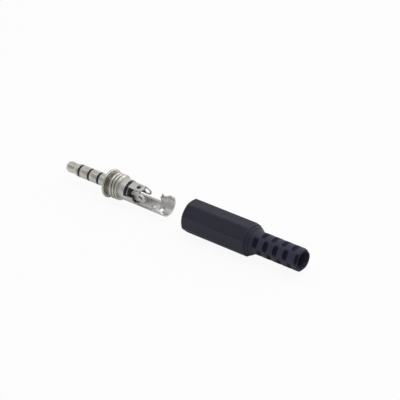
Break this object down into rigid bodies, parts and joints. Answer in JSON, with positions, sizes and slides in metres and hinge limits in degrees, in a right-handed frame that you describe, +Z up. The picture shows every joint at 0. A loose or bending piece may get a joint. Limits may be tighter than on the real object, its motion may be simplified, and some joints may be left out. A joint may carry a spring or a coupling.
{
  "type": "solder jack plug",
  "caption": "Straight metal jack plug for soldering, with a slim ringed contact pin, a flange, solder lugs, a cable clamp and a black screw-on cover with a notched bend relief, shown taken off.",
  "frame": {"origin": "centre of the flange's front face on the plug's axis, the shoulder that meets the socket", "axes": "+X along the plug's axis towards the cable end, +Z up as the plug and its cover lie on a table"},
  "size_m": [0.0782, 0.0086, 0.0086],
  "materials": {
    "nickel_plate": "turned brass with satin-bright nickel plate",
    "plated_sheet": "stamped sheet with satin nickel plate",
    "black_insulator": "moulded black nylon",
    "black_moulding": "moulded black plastic, fine satin grain"
  },
  "bodies": {
    "plug": {"tip_contact": "nickel_plate", "tip_insulator": "black_insulator", "ring_1_contact": "nickel_plate", "ring_1_insulator": "black_insulator", "ring_2_contact": "nickel_plate", "ring_2_insulator": "black_insulator", "sleeve_body": "nickel_plate", "ground_lug": "plated_sheet", "base_insulator": "black_insulator", "ring_2_lug": "plated_sheet", "front_washer": "black_insulator", "ring_1_lug": "plated_sheet", "rear_washer": "black_insulator", "tip_lug": "plated_sheet"},
    "cover": {"cover": "black_moulding"}
  },
  "joints": [
    {"name": "cover_slide", "type": "slide", "parent": "plug", "child": "cover", "axis": [-1, 0, 0], "range_m": [0, 0.02675]}
  ]
}
